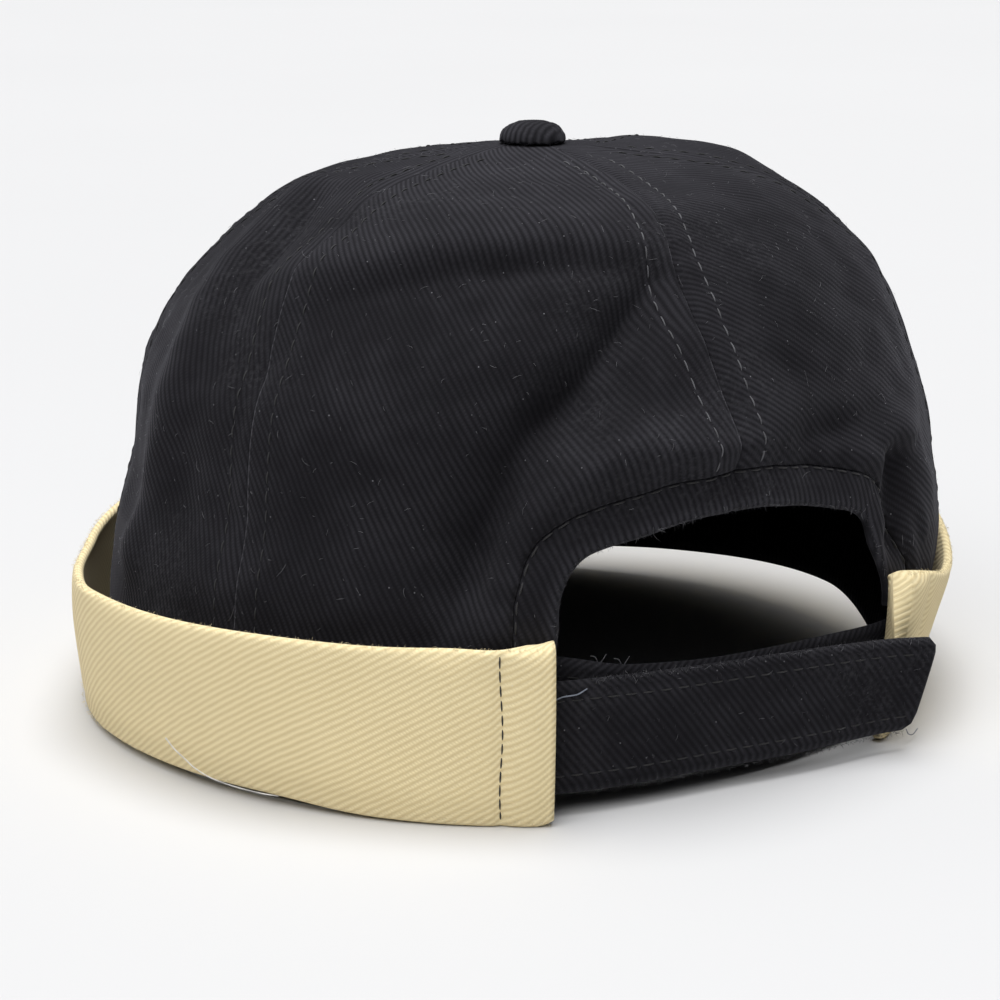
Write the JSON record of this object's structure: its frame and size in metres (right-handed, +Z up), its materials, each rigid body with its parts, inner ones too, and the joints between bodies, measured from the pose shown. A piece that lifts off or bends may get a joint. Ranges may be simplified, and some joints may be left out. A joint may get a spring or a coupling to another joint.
{
  "type": "brimless docker cap",
  "caption": "Brimless docker cap in black twill with a covered top button, a turned-up cream cuff and an arched back opening closed by two straps.",
  "frame": {"origin": "On the surface that the cap stands on, under the middle of the whole cap's box.", "axes": "+Z is up. +Y points out of the arched opening at the back of the cap. +X points towards the wearer's left."},
  "size_m": [0.1982, 0.1878, 0.1229],
  "materials": {
    "black_twill": "brushed cotton twill with fine ribs and a little lint",
    "cream_twill": "matt cotton twill with fine ribs"
  },
  "bodies": {
    "root": {"crown_back_left": "black_twill", "crown_side_left": "black_twill", "crown_front_left": "black_twill", "crown_front_right": "black_twill", "crown_side_right": "black_twill", "crown_back_right": "black_twill", "opening_facing": "black_twill", "strap_outer": "black_twill", "strap_inner": "black_twill", "top_button": "black_twill", "cuff": "cream_twill"}
  },
  "joints": []
}
